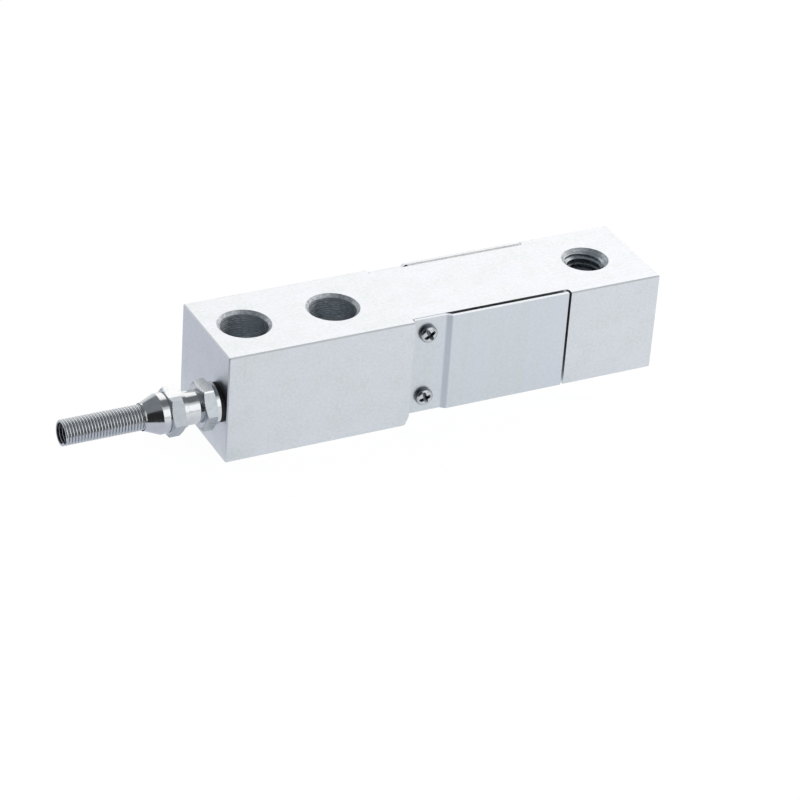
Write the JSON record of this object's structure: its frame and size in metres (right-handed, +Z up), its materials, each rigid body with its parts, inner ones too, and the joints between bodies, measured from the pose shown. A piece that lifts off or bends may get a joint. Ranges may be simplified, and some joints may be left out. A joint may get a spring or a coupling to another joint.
{
  "type": "shear beam load cell",
  "caption": "Square-section shear beam load cell: foot step, through mounting holes, tapped load hole, bent side covers and a cable gland with a coiled spring guard on its end.",
  "frame": {"origin": "midway between the two mounting holes, on the underside of the foot", "axes": "+X from the cable end to the load end, +Z up from the foot, so the front cover faces -Y"},
  "size_m": [0.1814, 0.0339, 0.0335],
  "materials": {
    "beam_steel": "nickel-plated alloy steel, finely ground, satin",
    "cover_sheet": "stainless sheet, satin",
    "screw_steel": "bright zinc or nickel plate",
    "gland_nickel": "nickel-plated, bright turned",
    "seal_rubber": "black nitrile rubber, matt",
    "ring_brass": "turned brass",
    "spring_steel": "bright drawn stainless wire",
    "gauge_film": "polyimide film",
    "gauge_foil": "etched constantan foil",
    "board": "glass-epoxy board",
    "solder": "tin solder and tinned wire",
    "resistor": "moulded chip body",
    "wire_sleeve": "PTFE sleeve",
    "potting": "soft white silicone compound"
  },
  "bodies": {
    "root": {"beam_body": "beam_steel", "front_cover": "cover_sheet", "rear_cover": "cover_sheet", "front_cover_screws": "screw_steel", "rear_cover_screws": "screw_steel", "gland_body": "gland_nickel", "gland_cap_nut": "gland_nickel", "gland_seal_washer": "seal_rubber", "gland_grommet": "seal_rubber", "gland_clamp_ring": "ring_brass", "cable_spring_guard": "spring_steel", "front_gauge_film": "gauge_film", "rear_gauge_film": "gauge_film", "front_gauge_foil": "gauge_foil", "rear_gauge_foil": "gauge_foil", "front_terminal_strip": "board", "rear_terminal_strip": "board", "trim_board": "board", "front_solder_joints": "solder", "rear_solder_joints": "solder", "front_jumper_wires": "solder", "rear_jumper_wires": "solder", "trim_resistors": "resistor", "web_bridge_wires": "wire_sleeve", "front_potting": "potting", "rear_potting": "potting"}
  },
  "joints": []
}
